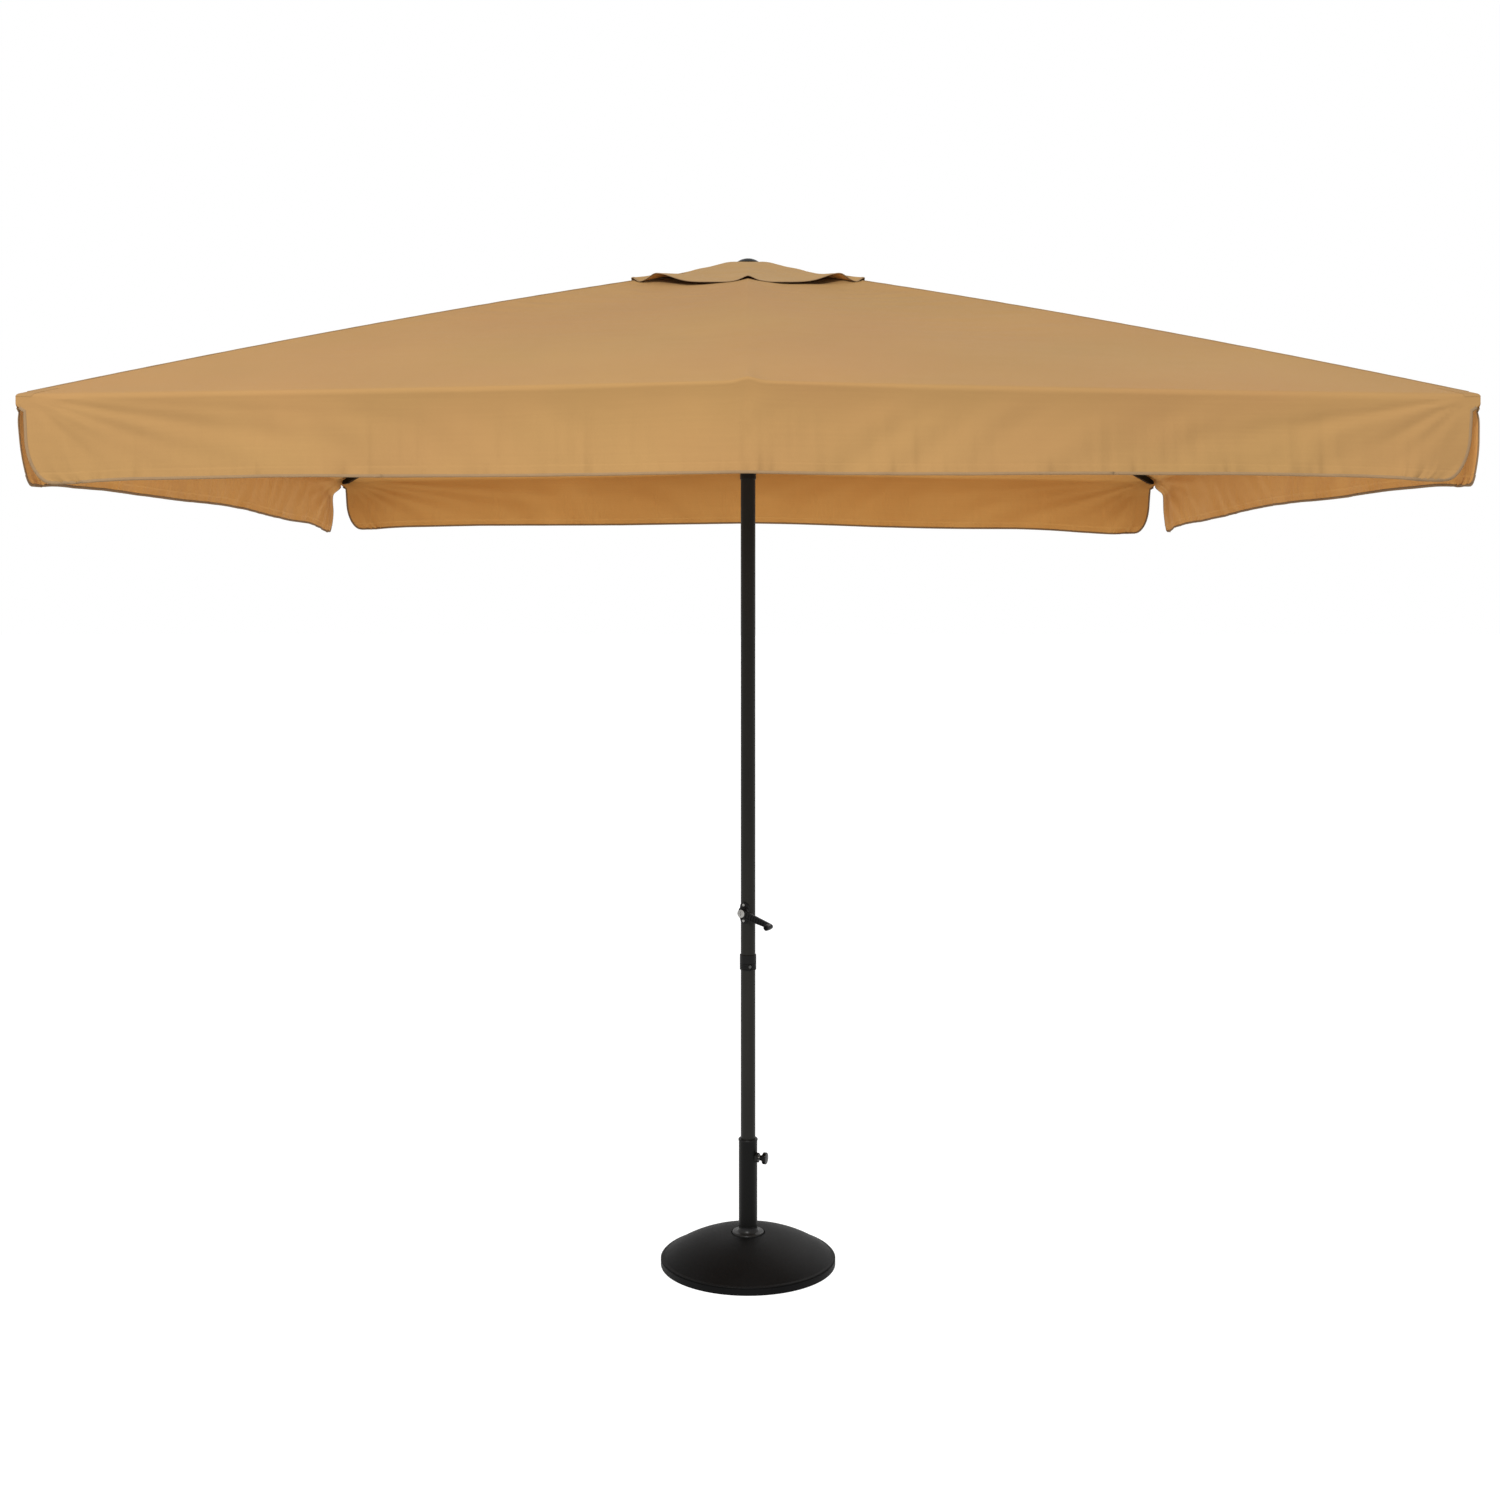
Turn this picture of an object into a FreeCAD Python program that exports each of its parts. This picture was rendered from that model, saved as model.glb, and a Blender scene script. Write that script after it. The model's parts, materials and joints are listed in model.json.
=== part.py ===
"""Square patio umbrella with a crank, a vented top and a weighted round foot.

Millimetres, +Z up. The origin is the middle of the foot's underside. The front is -Y. The canopy is open.
"""
import FreeCAD, Part
import math
import os

V = FreeCAD.Vector
os.makedirs("parts", exist_ok=True)

# ---- driving dimensions ----
GAP = 0.3  # between pieces that move past each other
FIT = 0.05  # radial play of a running fit

# foot
FOOT_R, RIM_TOP, SHELL_T = 225.0, 18.0, 3.0
DOME_MID_R, DOME_MID_Z = 130.0, 65.5
SEAT_R, SEAT_Z = 42.0, 76.0
PAD_R, PAD_H, PAD_RING_R, PAD_COUNT = 15.0, 6.0, 190.0, 6
SOCKET_R, SOCKET_BORE_R, SOCKET_TOP, SOCKET_FLOOR = 24.0, 22.2, 318.0, 10.0
COLLAR_R, COLLAR_WAIST_R = 40.5, 28.5
BUSHING_LOW, BUSHING_LIP = 285.0, 4.5

# clamp
CLAMP_AZIMUTH, CLAMP_Z = -20.0, 275.0
CLAMP_PAD_R, STUD_R, KNOB_R = 5.0, 4.0, 15.0
NUT_R, NUT_FACE, STUD_TIP_R, STUD_TIP = 12.7, 29.5, 3.0, 20.8

# pole
POLE_R, POLE_BORE_R = 19.0, 17.5
JOINT_Z, JOINT_COLLAR_LOW, JOINT_COLLAR_TOP, JOINT_COLLAR_R = 778.0, 758.0, 797.5, 21.5
SWAGE_LENGTH, POLE_TOP = 110.0, 2530.0
BUTTON_AZIMUTH, BUTTON_Z, BUTTON_R = -76.0, 768.0, 4.0

# crank
CRANK_AZIMUTH, CRANK_Z, CRANK_LENGTH, CRANK_DROP = -120.0, 907.0, 88.0, 17.0
HOUSING_W, HOUSING_H, HOUSING_R = 26.0, 54.0, 23.0
SCREW_OFFSET, BOSS_H, BOSS_FACE = 20.2, 34.0, 29.0
SPINDLE_R, DRUM_R, DRUM_FLANGE_R, DRUM_HALF = 4.0, 9.0, 13.2, 10.4
ARM_FACE, GRIP_R, GRIP_LENGTH = 36.0, 7.5, 20.0

# head
HUB_PIVOT_R, HUB_PIVOT_Z, HUB_R, HUB_LOW, HUB_TOP = 40.0, 2552.0, 52.0, 2536.0, 2566.0
PIN_R, EYE_W, EYE_R, FORK_HALF = 2.0, 8.0, 7.5, 4.3
CORD_R, SHEAVE_PITCH_R, SHEAVE_AZIMUTH, SHEAVE_OFFSET, SHEAVE_Z = 1.25, 12.5, 67.5, 10.5, 2548.0
FINIAL_R, FINIAL_LOW, FINIAL_TOP = 31.5, 2578.5, 2592.0

# runner
RUNNER_PIVOT_R, RUNNER_PIVOT_Z, RUNNER_CLOSED_Z = 35.0, 2090.0, 1115.0
RUNNER_R, RUNNER_FLANGE_R, RUNNER_LOW = 20.8, 43.0, 2022.0

# frame
RIB_W, RIB_H, RIB_WALL, RIB_BOW = 10.0, 18.0, 0.9, 13.0
RIB_START, TIP_CAP = 26.0, 30.0
STRUT_H, STRUT_WALL, BRACKET_DROP = 14.0, 1.0, 18.0
CLOSED_ANGLE = 11.0  # of a folded rib from the vertical

# cloth
HALF, CLOTH_T = 1350.0, 1.5
APEX_Z, MID_TIP_Z, CORNER_TIP_Z, CLOTH_BOW = 2577.0, 2130.0, 2100.0, 15.0
VENT_HOLE_HALF, FLAP_HALF, FLAP_HOLE_HALF, FLAP_EDGE_Z = 200.0, 280.0, 30.0, 2500.0
HEM_MID_Z, HEM_END_Z = 1953.0, 1937.0

parts = {}


# ---- helpers ----
def radial(azimuth, radius=1.0, z=0.0):
    """The point at this azimuth in degrees, radius and height."""
    a = math.radians(azimuth)
    return V(radius * math.cos(a), radius * math.sin(a), z)


def wire(points, lift):
    """Closed wire through 2-D points, which lift() places; a pair (mid, end) is an arc."""
    edges, start = [], points[0]
    for step in points[1:] + [points[0]]:
        if isinstance(step[0], tuple):
            mid, end = step
            edges.append(Part.Arc(lift(start), lift(mid), lift(end)).toShape())
        else:
            end = step
            if lift(start).distanceToPoint(lift(end)) > 1e-6:
                edges.append(Part.makeLine(lift(start), lift(end)))
        start = end
    return Part.Wire(edges)


def turned(points):
    """Solid of revolution about Z from (radius, height) points."""
    face = Part.Face(wire(points, lambda p: V(p[0], 0, p[1])))
    return face.revolve(V(0, 0, 0), V(0, 0, 1), 360)


def prism(points, width):
    """(x, z) outline, extruded across Y, centred."""
    face = Part.Face(wire(points, lambda p: V(p[0], -width / 2, p[1])))
    return face.extrude(V(0, width, 0))


def plate(points, low, high):
    """(x, y) outline, extruded along Z."""
    return Part.Face(wire(points, lambda p: V(p[0], p[1], low))).extrude(V(0, 0, high - low))


def crosswise(x, radius, width):
    """Round bar across Y, centred, at this X."""
    return prism([(x - radius, 0), ((x, radius), (x + radius, 0)), ((x, -radius), (x - radius, 0))], width)


def cylinder(radius, low, high):
    return Part.makeCylinder(radius, high - low, V(0, 0, low))


def ring(outer, inner, low, high):
    return cylinder(outer, low, high).cut(cylinder(inner, low, high))


def domed(radius, low, top):
    """Cap of a sphere that stands on its flat side."""
    ball_r = (radius**2 + (top - low) ** 2) / (2 * (top - low))
    ball = Part.makeSphere(ball_r, V(0, 0, top - ball_r))
    return ball.common(cylinder(radius, low, top + 1))


def box(x0, x1, y0, y1, z0, z1):
    return Part.makeBox(x1 - x0, y1 - y0, z1 - z0, V(x0, y0, z0))


def obround(width, height):
    """Outline of an upright slot shape centred on the origin."""
    r, s = width / 2, (height - width) / 2
    return [(r, -s), (r, s), ((0, s + r), (-r, s)), (-r, -s), ((0, -s - r), (r, -s))]


def frame_at(origin, x_axis, z_axis):
    """Placement with local X and Z along these directions."""
    return FreeCAD.Placement(
        origin, FreeCAD.Rotation(x_axis, z_axis.cross(x_axis), z_axis, "ZXY")
    )


def placed(shape, placement):
    return shape.transformed(placement.toMatrix(), True)


def spun(shape, azimuth):
    """The shape turned about the pole's axis."""
    return placed(shape, FreeCAD.Placement(V(), FreeCAD.Rotation(V(0, 0, 1), azimuth)))


def facing(azimuth, z):
    """Frame on the pole's axis: local Z points out at this azimuth, and local Y points up."""
    return frame_at(V(0, 0, z), radial(azimuth + 90), radial(azimuth))


def group(*shapes):
    return Part.makeCompound([s for shape in shapes for s in shape.Solids])


# ---- foot ----
def foot():
    step_r = FOOT_R - 1.8
    rim = [(FOOT_R, 2), (FOOT_R, RIM_TOP), (step_r, RIM_TOP), (step_r, RIM_TOP + 1.5)]
    rim += [(step_r - 1.2, RIM_TOP + 3), (step_r - 8, RIM_TOP + 4.5)]
    dome = [((DOME_MID_R, DOME_MID_Z), (SEAT_R + 2, SEAT_Z + 4)), (SEAT_R, SEAT_Z), (SOCKET_R, SEAT_Z)]
    hollow = [(SOCKET_R, SEAT_Z - SHELL_T), (SEAT_R + 1, SEAT_Z - SHELL_T)]
    hollow += [((DOME_MID_R, DOME_MID_Z - SHELL_T - 1), (step_r - 10, RIM_TOP + 1))]
    hollow += [(FOOT_R - SHELL_T, RIM_TOP - 1)]
    parts["base_shell"] = turned(rim + dome + hollow + [(FOOT_R - SHELL_T, 2)])

    pads = [
        placed(cylinder(PAD_R, 0, PAD_H), FreeCAD.Placement(at, FreeCAD.Rotation()))
        for at in (radial(360 * i / PAD_COUNT + 30, PAD_RING_R) for i in range(PAD_COUNT))
    ]
    parts["base_feet"] = group(*pads)

    under = [(FOOT_R - SHELL_T, 3), (0, 3), (0, SOCKET_FLOOR), (SOCKET_R, SOCKET_FLOOR)]
    ballast = turned(hollow + under)
    parts["base_ballast"] = ballast.cut(Part.makeCompound(pads))

    tube = ring(SOCKET_R, SOCKET_BORE_R, SOCKET_FLOOR, SOCKET_TOP)
    hole = placed(cylinder(CLAMP_PAD_R + 0.5, 15, 30), facing(CLAMP_AZIMUTH, CLAMP_Z))
    parts["base_tube"] = tube.cut(hole)

    rounded = [(COLLAR_R, SEAT_Z), (COLLAR_R, SEAT_Z + 4), ((39.3, SEAT_Z + 7), (36, SEAT_Z + 8))]
    flare = [(COLLAR_WAIST_R, SEAT_Z + 9), ((25.6, SEAT_Z + 13), (SOCKET_R + 0.6, SEAT_Z + 23))]
    parts["tube_foot_collar"] = turned(
        [(SOCKET_R, SEAT_Z)] + rounded + flare + [(SOCKET_R, SEAT_Z + 23)]
    )

    bore = POLE_R + 0.15
    lip_top = SOCKET_TOP + BUSHING_LIP
    lip = [(SOCKET_R + 1, SOCKET_TOP), (SOCKET_R + 1, lip_top - 1.5), (SOCKET_R, lip_top)]
    sleeve = [(bore, lip_top), (bore, BUSHING_LOW), (SOCKET_BORE_R, BUSHING_LOW), (SOCKET_BORE_R, SOCKET_TOP)]
    parts["tube_bushing"] = turned(lip + sleeve)


def clamp():
    at = facing(CLAMP_AZIMUTH, CLAMP_Z)
    corners = [radial(60 * i + 30, NUT_R) for i in range(6)]
    boss = plate([(p.x, p.y) for p in corners], 18, NUT_FACE)
    boss = boss.cut(cylinder(STUD_R + FIT, 0, 40)).cut(cylinder(CLAMP_PAD_R + 0.5, 0, 26.5))
    parts["clamp_nut"] = placed(boss, at).cut(cylinder(SOCKET_R, 200, 318))

    pad = cylinder(CLAMP_PAD_R, 15, 22.2).cut(cylinder(STUD_TIP_R + FIT, STUD_TIP, 23))
    parts["clamp_pad"] = placed(pad, at).cut(cylinder(POLE_R + FIT, 200, 318))

    tip = [(0, STUD_TIP), (STUD_TIP_R, STUD_TIP), (STUD_TIP_R, 22.4), (STUD_R, 22.4), (STUD_R, 44), (0, 44)]
    parts["clamp_screw"] = placed(turned(tip), at)

    stem = [(STUD_R, 33), (6, 33), (7, 34), (7, 39.5), (12, 41), ((14.4, 42), (KNOB_R, 44))]
    cap = [(KNOB_R, 48), ((14.2, 50.4), (12, 51)), (0, 51), (0, 44), (STUD_R, 44)]
    parts["clamp_knob"] = placed(turned(stem + cap).fuse(domed(12, 51, 52)), at)


# ---- pole ----
def pole():
    plug_top = SOCKET_FLOOR + 6
    plug = [(0, SOCKET_FLOOR), (POLE_R - 1, SOCKET_FLOOR), (POLE_R, SOCKET_FLOOR + 1), (POLE_R, plug_top)]
    neck = POLE_BORE_R - FIT
    parts["pole_foot_plug"] = turned(plug + [(neck, plug_top), (neck, plug_top + 20), (0, plug_top + 20)])

    button_at = facing(BUTTON_AZIMUTH, BUTTON_Z)
    button_hole = placed(cylinder(BUTTON_R + FIT, 10, 30), button_at)
    lower = ring(POLE_R, POLE_BORE_R, plug_top, JOINT_Z)
    # the collar comes away with the upper pole, so the button leaves the lower one by an open notch
    notch = placed(box(-BUTTON_R - FIT, BUTTON_R + FIT, 0, JOINT_Z - BUTTON_Z + 1, 10, 30), button_at)
    parts["lower_pole"] = lower.cut(button_hole).cut(notch)

    crank_at = facing(CRANK_AZIMUTH, CRANK_Z)
    swage_r = POLE_BORE_R - FIT
    upper = ring(POLE_R, POLE_BORE_R, JOINT_Z, POLE_TOP)
    upper = upper.fuse(ring(swage_r, swage_r - 1.5, JOINT_Z - SWAGE_LENGTH, JOINT_Z + 0.5))
    upper = upper.fuse(ring(POLE_BORE_R, swage_r - 1.5, JOINT_Z, JOINT_Z + 12))
    spindle_holes = placed(cylinder(SPINDLE_R + FIT, -25, 25), crank_at)
    screw_holes = group(
        *[
            placed(cylinder(1.6, 10, 25), facing(CRANK_AZIMUTH, CRANK_Z + side * SCREW_OFFSET))
            for side in (-1, 1)
        ]
    )
    parts["upper_pole"] = upper.cut(button_hole).cut(spindle_holes).cut(screw_holes)

    low, top, r = JOINT_COLLAR_LOW, JOINT_COLLAR_TOP, JOINT_COLLAR_R
    collar = [(POLE_R + 0.1, low), (r - 1, low), (r, low + 1)]
    for i in range(4):
        groove = low + 2.5 + 4.6 * i
        collar += [(r, groove), (r - 0.9, groove + 0.5), (r - 0.9, groove + 1.3), (r, groove + 1.8)]
    collar += [(r, top - 1.2), (r - 1.2, top), (POLE_R + 0.1, top)]
    # the button reaches the open air through an upright window
    window = placed(plate(obround(9, 15), 17, 30), button_at)
    parts["joint_collar"] = turned(collar).cut(window)

    head = cylinder(BUTTON_R, 14.4, 21.2).fuse(cylinder(BUTTON_R - 0.8, 21, 22))
    leaf = plate(obround(9, 52), 13.3, 14.4)
    parts["snap_button"] = placed(head.fuse(leaf), button_at)


# ---- crank ----
def crank():
    at = facing(CRANK_AZIMUTH, CRANK_Z)
    around = cylinder(HOUSING_R, CRANK_Z - 60, CRANK_Z + 60)
    saddle = placed(plate(obround(HOUSING_W, HOUSING_H), 10, 30), at).common(around)
    low = plate(obround(HOUSING_W, BOSS_H), 16, BOSS_FACE - 2)
    rim = plate(obround(HOUSING_W - 3, BOSS_H - 3), 20, BOSS_FACE)
    housing = saddle.fuse(placed(low.fuse(rim), at)).cut(cylinder(POLE_R + 0.02, 800, 1000))
    housing = housing.cut(placed(cylinder(SPINDLE_R + FIT, 0, 40), at))
    screws = []
    for side in (-1, 1):
        screw_at = facing(CRANK_AZIMUTH, CRANK_Z + side * SCREW_OFFSET)
        head = cylinder(3.4, HOUSING_R - 1, HOUSING_R + 1.2).fuse(cylinder(1.6, 15, HOUSING_R))
        housing = housing.cut(placed(cylinder(1.6, 10, 40), screw_at))
        housing = housing.cut(placed(cylinder(3.45, HOUSING_R - 1, 40), screw_at))
        slot = box(-3, 3, -0.4, 0.4, HOUSING_R + 0.4, 40).fuse(box(-0.4, 0.4, -3, 3, HOUSING_R + 0.4, 40))
        screws.append(placed(head.cut(slot), screw_at))
    parts["crank_housing"] = housing
    parts["crank_screws"] = group(*screws)

    spindle = cylinder(SPINDLE_R, -18.8, 33)
    flanges = [cylinder(DRUM_FLANGE_R, side * DRUM_HALF - 0.6, side * DRUM_HALF + 0.6) for side in (-1, 1)]
    drum = spindle.fuse(cylinder(DRUM_R, -DRUM_HALF, DRUM_HALF)).fuse(flanges[0]).fuse(flanges[1])
    parts["crank_drum"] = placed(drum.cut(cylinder(2, 25, 40)), at)

    back, tip_r, root_r = BOSS_FACE + 0.3, 6.5, 11.0
    lean = math.acos((root_r - tip_r) / CRANK_LENGTH)
    side = [(r * math.cos(lean), r * math.sin(lean)) for r in (root_r, tip_r)]
    (x0, y0), (x1, y1) = side[0], (side[1][0] + CRANK_LENGTH, side[1][1])
    bar = plate([(x0, -y0), (x1, -y1), ((CRANK_LENGTH + tip_r, 0), (x1, y1)), (x0, y0)], back + 0.7, ARM_FACE)
    arm = bar.fuse(cylinder(root_r, back, ARM_FACE))
    rib_pitch, pocket_count = 7.5, 8
    for i in range(pocket_count):
        x = 14 + rib_pitch * i
        half = 7.2 - 0.42 * i
        arm = arm.cut(box(x, x + rib_pitch - 1.8, -half, half, ARM_FACE - 2, ARM_FACE + 1))
    arm = arm.cut(cylinder(SPINDLE_R, 20, 33)).cut(cylinder(2, 20, 40))
    stud = placed(cylinder(SPINDLE_R, ARM_FACE - 3, ARM_FACE + 15), offset(CRANK_LENGTH))
    arm_at = at.multiply(FreeCAD.Placement(V(), FreeCAD.Rotation(V(0, 0, 1), -CRANK_DROP)))
    parts["crank_arm"] = placed(arm.fuse(stud), arm_at)

    screw = cylinder(2, 26, ARM_FACE).fuse(cylinder(10.3, ARM_FACE, ARM_FACE + 1.4))
    screw = screw.fuse(domed(10.3, ARM_FACE + 1.4, ARM_FACE + 2.9))
    cross = box(-5.5, 5.5, -0.8, 0.8, ARM_FACE + 1.3, 50).fuse(box(-0.8, 0.8, -5.5, 5.5, ARM_FACE + 1.3, 50))
    parts["crank_hub_screw"] = placed(screw.cut(cross), at)

    end = ARM_FACE + GAP + GRIP_LENGTH
    bore = SPINDLE_R + FIT
    sleeve = [(bore, ARM_FACE + GAP), (GRIP_R - 0.8, ARM_FACE + GAP), (GRIP_R, ARM_FACE + GAP + 0.8)]
    sleeve += [(GRIP_R + 0.4, end - 10), (GRIP_R, end - 1), (GRIP_R - 1, end), (5, end), (bore, end - 1)]
    parts["crank_grip"] = placed(turned(sleeve), arm_at.multiply(offset(CRANK_LENGTH)))


def offset(x):
    return FreeCAD.Placement(V(x, 0, 0), FreeCAD.Rotation())


# ---- head ----
def head():
    sheave_at = frame_at(
        radial(SHEAVE_AZIMUTH, SHEAVE_OFFSET, SHEAVE_Z), radial(SHEAVE_AZIMUTH), radial(SHEAVE_AZIMUTH + 90)
    )
    hub = cylinder(HUB_R, HUB_LOW, HUB_TOP).fuse(cylinder(24.5, 2500, HUB_LOW))
    hub = hub.fuse(cylinder(20, HUB_TOP, FINIAL_LOW)).cut(cylinder(POLE_R, 2490, POLE_TOP))
    hub = hub.cut(cylinder(5, 2568, 2600)).cut(cylinder(14, 2525, 2533))
    pins = []
    for i in range(8):
        slot = box(HUB_PIVOT_R - 11, 60, -FORK_HALF, FORK_HALF, HUB_LOW - 1, HUB_PIVOT_Z + 10)
        at = frame_at(radial(45 * i, HUB_PIVOT_R, HUB_PIVOT_Z), radial(45 * i), radial(45 * i + 90))
        pin = placed(cylinder(PIN_R, -9.5, 9.5), at)
        hub = hub.cut(spun(slot, 45 * i)).cut(pin)
        pins.append(pin)
    sheave_slot = spun(box(-5.5, 27, -3.4, 3.4, 2490, 2563), SHEAVE_AZIMUTH)
    sheave_pin = placed(cylinder(PIN_R, -8, 8), sheave_at)
    parts["top_hub"] = hub.cut(sheave_slot).cut(sheave_pin)
    parts["hub_pins"] = group(*pins, sheave_pin)

    rim, root = SHEAVE_PITCH_R + 0.8, SHEAVE_PITCH_R - CORD_R - 0.2
    groove = [(rim, -3), (rim, -1.9), ((root, 0), (rim, 1.9)), (rim, 3)]
    parts["pulley"] = placed(turned([(PIN_R + FIT, -3)] + groove + [(PIN_R + FIT, 3)]), sheave_at)

    brim = [(5, FINIAL_LOW), (FINIAL_R - 1.5, FINIAL_LOW), (FINIAL_R, FINIAL_LOW + 2), (0, FINIAL_LOW + 2)]
    finial = turned([(0, 2570), (5, 2570)] + brim)
    parts["finial"] = finial.fuse(domed(FINIAL_R, FINIAL_LOW + 2, FINIAL_TOP))
    lift_cord(sheave_at)


def lift_cord(sheave_at):
    """Wound on the drum, up inside the pole, over the pulley, and down to the runner."""
    drum_at = facing(CRANK_AZIMUTH, CRANK_Z)
    inside = DRUM_HALF - 0.7
    winding = placed(ring(DRUM_FLANGE_R - 0.6, DRUM_R + 0.02, -inside, inside), drum_at)
    start = radial(CRANK_AZIMUTH + 90, 11.5, CRANK_Z)
    inner_end = radial(SHEAVE_AZIMUTH, SHEAVE_OFFSET - SHEAVE_PITCH_R, SHEAVE_Z)
    rise = Part.makeCylinder(CORD_R, (inner_end - start).Length, start, inner_end - start)
    bend = Part.makeTorus(SHEAVE_PITCH_R, CORD_R, V(), V(0, 0, 1), 0, 360, 180)
    fall_at = radial(SHEAVE_AZIMUTH, SHEAVE_OFFSET + SHEAVE_PITCH_R)
    fall_low = V(fall_at.x, fall_at.y, RUNNER_PIVOT_Z + 2)
    fall = Part.makeCylinder(CORD_R, SHEAVE_Z - fall_low.z, fall_low)
    # the half torus is made over local +Y, and the sheave's frame has +Y downward, so it is turned over
    over = sheave_at.multiply(FreeCAD.Placement(V(), FreeCAD.Rotation(V(1, 0, 0), 180)))
    parts["lift_cord"] = winding.fuse(rise).fuse(placed(bend, over)).fuse(fall)


# ---- runner ----
def runner():
    bore = POLE_R + GAP
    flange_low, flange_top = RUNNER_PIVOT_Z - 13, RUNNER_PIVOT_Z + 13
    outline = [(bore, RUNNER_LOW), (RUNNER_R - 0.6, RUNNER_LOW), (RUNNER_R, RUNNER_LOW + 1)]
    outline += [(RUNNER_R, flange_low - 10), (27, flange_low), (RUNNER_FLANGE_R, flange_low)]
    outline += [(RUNNER_FLANGE_R, flange_top - 2), (RUNNER_FLANGE_R - 2, flange_top), (bore, flange_top)]
    body, pins = turned(outline), []
    for i in range(8):
        slot = box(RUNNER_PIVOT_R - 7, 60, -FORK_HALF, FORK_HALF, flange_low - 12, flange_top + 1)
        at = frame_at(radial(45 * i, RUNNER_PIVOT_R, RUNNER_PIVOT_Z), radial(45 * i), radial(45 * i + 90))
        pin = placed(cylinder(PIN_R, -8.5, 8.5), at)
        body = body.cut(spun(slot, 45 * i)).cut(pin)
        pins.append(pin)
    cord_hole = spun(box(21, 25, -1.6, 1.6, RUNNER_PIVOT_Z, flange_top + 1), SHEAVE_AZIMUTH)
    parts["runner"] = body.cut(cord_hole)
    parts["runner_pins"] = group(*pins)


# ---- ribs and struts ----
class Link:
    """One rib and its strut, solved in the rib's upright plane of (radius, height)."""

    def __init__(self, tip_r, tip_z):
        pivot = (HUB_PIVOT_R, HUB_PIVOT_Z)
        self.length = math.dist(pivot, (tip_r, tip_z))
        self.open_angle = math.degrees(math.atan2(tip_r - pivot[0], pivot[1] - tip_z))
        self.along = 700.0
        for _ in range(20):
            self.along = self.solve()
        self.drop = BRACKET_DROP - self.arch(self.along)
        joint = self.joint(self.open_angle)
        self.strut_angle = math.degrees(
            math.atan2(joint[0] - RUNNER_PIVOT_R, joint[1] - RUNNER_PIVOT_Z)
        )
        self.strut_length = math.dist(joint, (RUNNER_PIVOT_R, RUNNER_PIVOT_Z))
        closed = self.joint(CLOSED_ANGLE)
        self.strut_closed = math.degrees(
            math.atan2(closed[0] - RUNNER_PIVOT_R, closed[1] - RUNNER_CLOSED_Z)
        )

    def arch(self, along):
        """How far the bowed rib stands over its chord."""
        share = along / self.length
        return 4 * RIB_BOW * share * (1 - share)

    def joint(self, angle):
        """Where the strut's upper pivot is, with the rib at this angle from the vertical."""
        a, drop = math.radians(angle), BRACKET_DROP - self.arch(self.along)
        r = HUB_PIVOT_R + self.along * math.sin(a) - drop * math.cos(a)
        return r, HUB_PIVOT_Z - self.along * math.cos(a) - drop * math.sin(a)

    def solve(self):
        """The bracket's place that gives one strut length with the runner at both ends of its travel."""
        drop = BRACKET_DROP - self.arch(self.along)
        tilt = math.atan2(drop, self.along)
        depths = HUB_PIVOT_Z - RUNNER_PIVOT_Z, HUB_PIVOT_Z - RUNNER_CLOSED_Z
        turns = [math.radians(a) - tilt for a in (self.open_angle, CLOSED_ANGLE)]
        (d0, d1), (s0, s1) = depths, [math.sin(t) for t in turns]
        c0, c1 = [math.cos(t) for t in turns]
        inset = HUB_PIVOT_R - RUNNER_PIVOT_R
        reach = (d1**2 - d0**2) / (2 * (d1 * c1 - d0 * c0) + 2 * inset * (s0 - s1))
        return math.sqrt(reach**2 - drop**2)


def band(length, bow, half_height, start, end):
    """(x, z) outline of a bowed bar: a chord from 0 to length, kept between start and end."""

    def at(x, side):
        return x, 4 * bow * (x / length) * (1 - x / length) + side * half_height

    middle = (start + end) / 2
    return [at(start, 1), (at(middle, 1), at(end, 1)), at(end, -1), (at(middle, -1), at(start, -1))]


def rib(link):
    """The rib's tube and its fittings: hub eye, strut bracket with its pin, and tip cap."""
    start, end = RIB_START, link.length - TIP_CAP
    tube = prism(band(link.length, RIB_BOW, RIB_H / 2, start, end), RIB_W)
    inside_h, inside_w = RIB_H / 2 - RIB_WALL, RIB_W - 2 * RIB_WALL
    tube = tube.cut(prism(band(link.length, RIB_BOW, inside_h, start - 1, end + 1), inside_w))

    plug = prism(band(link.length, RIB_BOW, inside_h - FIT, start - 6, start + 20), inside_w - 0.1)
    neck = prism([(0, -6), (start, -5.5), (start, EYE_R), (0, EYE_R)], EYE_W)
    eye = crosswise(0, EYE_R, EYE_W).fuse(neck).fuse(plug)
    eye = eye.cut(crosswise(0, PIN_R + FIT, 20))

    x, z = link.along, -link.drop
    slope = math.degrees(math.atan(4 * RIB_BOW / link.length * (1 - 2 * x / link.length)))
    at = FreeCAD.Placement(V(x, 0, z), FreeCAD.Rotation(V(0, -1, 0), slope))
    ears = prism([(-13, -5), ((0, -7), (13, -5)), (15, 19), (-15, 19)], 15)
    ears = ears.cut(box(-40, 40, -FORK_HALF, FORK_HALF, -20, BRACKET_DROP - RIB_H / 2))
    pin = placed(cylinder(PIN_R, -7.5, 7.5), FreeCAD.Placement(V(), FreeCAD.Rotation(V(1, 0, 0), 90)))
    bracket = placed(ears.cut(pin), at)
    bracket = bracket.cut(prism(band(link.length, RIB_BOW, RIB_H / 2, x - 60, x + 60), RIB_W))

    tip_plug = prism(band(link.length, RIB_BOW, inside_h - FIT, end - 20, end), inside_w - 0.1)
    nose_end = link.length
    nose = [(end, -9), (end, 9.5), (nose_end - 5, 6), ((nose_end, 0), (nose_end - 5, -6))]
    tip = tip_plug.fuse(prism(nose, RIB_W + 1))
    return tube, group(eye, bracket, placed(pin, at), tip)


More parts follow.
